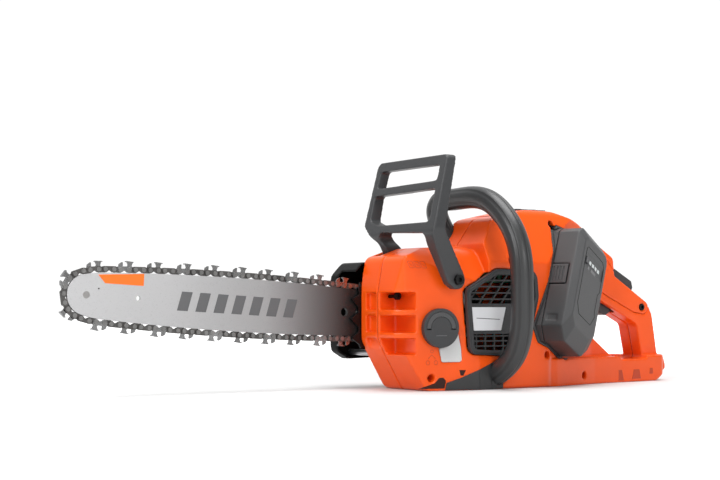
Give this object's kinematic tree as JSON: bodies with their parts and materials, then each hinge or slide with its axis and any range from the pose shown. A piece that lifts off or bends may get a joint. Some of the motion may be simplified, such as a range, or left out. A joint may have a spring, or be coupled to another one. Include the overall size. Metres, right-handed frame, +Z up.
{
  "type": "cordless chainsaw",
  "caption": "Battery chainsaw: orange housing with rear handle, wrap-round front handle, hand guard, laminated sprocket-nose bar with chain, oil cap and slide-in battery.",
  "frame": {"origin": "on the resting plane under the saw, straight below the drive-shaft axis, in the joint plane of the two housing halves", "axes": "+X forwards along the guide bar, +Y to the user's left, +Z up"},
  "size_m": [0.7983, 0.1868, 0.259],
  "materials": {
    "orange_plastic": "satin moulded plastic",
    "dark_plastic": "fine texture",
    "battery_plastic": "fine texture",
    "black_plastic": "satin",
    "bar_steel": "ground and clear-coated",
    "chain_steel": "oiled",
    "plated_steel": "zinc plated",
    "black_steel": "black oxide",
    "aluminium": "die cast",
    "laminated_steel": "stacked laminations",
    "copper": "enamelled",
    "tank_plastic": "translucent",
    "silver_label": "satin, blank",
    "rubber": "matte",
    "circuit_board": "solder mask",
    "cell_wrap": "shrink wrap",
    "light_clear": "clear lens",
    "key_rubber": "matte"
  },
  "bodies": {
    "saw": {"air_grille": "dark_plastic", "bar_studs_and_nuts": "plated_steel", "battery_bay": "battery_plastic", "brake_band_and_spring": "plated_steel", "bumper_spikes": "black_steel", "chain_catcher": "aluminium", "controller": "circuit_board", "front_handle": "dark_plastic", "grip_side_cover": "orange_plastic", "guard_pivot_bolt": "plated_steel", "heat_sink": "aluminium", "housing_left": "orange_plastic", "housing_right": "orange_plastic", "housing_screws": "plated_steel", "inner_brackets": "aluminium", "keypad_frame": "dark_plastic", "motor_bearings": "plated_steel", "motor_stator": "laminated_steel", "motor_windings": "copper", "nameplate": "silver_label", "oil_level_window": "tank_plastic", "oil_pump_and_hose": "black_plastic", "oil_tank": "tank_plastic", "pivot_pins": "plated_steel", "sprocket_cover": "black_plastic", "tension_screw": "plated_steel", "top_cover": "orange_plastic", "trigger_switch": "black_plastic"},
    "spindle": {"motor_shaft": "plated_steel", "motor_rotor": "black_steel", "cooling_fan": "black_plastic", "brake_drum": "plated_steel", "drive_sprocket": "plated_steel", "sprocket_washer_and_clip": "plated_steel"},
    "bar_unit": {"bar_plates": "bar_steel", "bar_core": "bar_steel", "nose_rivet": "plated_steel", "tension_pin": "plated_steel", "chain_drive_links": "chain_steel", "chain_tie_straps": "chain_steel", "chain_cutters": "chain_steel", "chain_rivets": "chain_steel"},
    "nose_wheel": {"nose_sprocket": "chain_steel"},
    "guard": {"hand_guard": "dark_plastic"},
    "brake_linkage": {"brake_link": "dark_plastic"},
    "cap_ring": {"tank_cap_seal": "rubber"},
    "cap": {"tank_cap": "dark_plastic"},
    "cap_flap": {"tank_cap_flap": "dark_plastic"},
    "battery": {"battery_case_outer": "battery_plastic", "battery_case_inner": "battery_plastic", "battery_cells": "cell_wrap", "battery_board": "circuit_board", "charge_lights": "light_clear"},
    "latch_front": {"battery_latch_front": "battery_plastic"},
    "latch_rear": {"battery_latch_rear": "battery_plastic"},
    "check_button": {"charge_button": "key_rubber"},
    "trigger": {"trigger": "dark_plastic"},
    "lockout": {"lockout_lever": "dark_plastic"},
    "power_key": {"power_button": "key_rubber"},
    "mode_key": {"mode_button": "key_rubber"}
  },
  "joints": [
    {"name": "motor_spin", "type": "hinge", "parent": "saw", "child": "spindle", "pos_m": [0, -0.02, 0.08], "axis": [0, 1, 0], "continuous": true, "deforming": ["chain_drive_links", "chain_tie_straps", "chain_cutters", "chain_rivets"]},
    {"name": "bar_slide", "type": "slide", "parent": "saw", "child": "bar_unit", "axis": [0.9984, 0, 0.0558], "range_m": [-0.006, 0.003]},
    {"name": "nose_spin", "type": "hinge", "parent": "bar_unit", "child": "nose_wheel", "pos_m": [0.4275, -0.038, 0.1039], "axis": [0, 1, 0], "continuous": true},
    {"name": "guard_swing", "type": "hinge", "parent": "saw", "child": "guard", "pos_m": [0.0388, 0.02, 0.1218], "axis": [0, 1, 0], "range_deg": [0, 13]},
    {"name": "brake_link_slide", "type": "slide", "parent": "saw", "child": "brake_linkage", "axis": [-1, 0, 0], "range_m": [0, 0.004]},
    {"name": "cap_lift", "type": "slide", "parent": "saw", "child": "cap_ring", "axis": [0.1959, 0.9806, 0], "range_m": [0, 0.03]},
    {"name": "cap_turn", "type": "hinge", "parent": "cap_ring", "child": "cap", "pos_m": [0.0495, 0.0476, 0.069], "axis": [0.1959, 0.9806, 0], "range_deg": [0, 90]},
    {"name": "cap_flap_fold", "type": "hinge", "parent": "cap", "child": "cap_flap", "pos_m": [0.05058, 0.05299, 0.071], "axis": [-0.9806, 0.1959, 0], "range_deg": [0, 84]},
    {"name": "battery_slide", "type": "slide", "parent": "saw", "child": "battery", "axis": [-0.3697, 0.9291, 0], "range_m": [0, 0.09]},
    {"name": "latch_front_press", "type": "slide", "parent": "battery", "child": "latch_front", "axis": [-0.8514, -0.3388, -0.4003], "range_m": [0, 0.0015], "stiffness_N_per_m": 500, "springref_m": -0.002},
    {"name": "latch_rear_press", "type": "slide", "parent": "battery", "child": "latch_rear", "axis": [0.8514, 0.3388, 0.4003], "range_m": [0, 0.0015], "stiffness_N_per_m": 500, "springref_m": -0.002},
    {"name": "check_button_press", "type": "slide", "parent": "battery", "child": "check_button", "axis": [0.3697, -0.9291, 0], "range_m": [0, 0.0008], "stiffness_N_per_m": 300, "springref_m": -0.001},
    {"name": "trigger_pull", "type": "hinge", "parent": "saw", "child": "trigger", "pos_m": [-0.222, 0, 0.116], "axis": [0, 1, 0], "range_deg": [0, 12], "stiffness_Nm_per_rad": 0.8, "springref_deg": -11.46},
    {"name": "lockout_press", "type": "hinge", "parent": "saw", "child": "lockout", "pos_m": [-0.246, 0, 0.131], "axis": [0, -1, 0], "range_deg": [0, 6], "stiffness_Nm_per_rad": 0.6, "springref_deg": -11.46},
    {"name": "power_press", "type": "slide", "parent": "saw", "child": "power_key", "axis": [0, 0, -1], "range_m": [0, 0.001], "stiffness_N_per_m": 300, "springref_m": -0.001},
    {"name": "mode_press", "type": "slide", "parent": "saw", "child": "mode_key", "axis": [0, 0, -1], "range_m": [0, 0.001], "stiffness_N_per_m": 300, "springref_m": -0.001}
  ],
  "couplings": [
    {"joint": "nose_spin", "follows": "motor_spin", "ratio": 0.77778},
    {"joint": "brake_link_slide", "follows": "guard_swing", "m_per_rad": 0.016748}
  ]
}
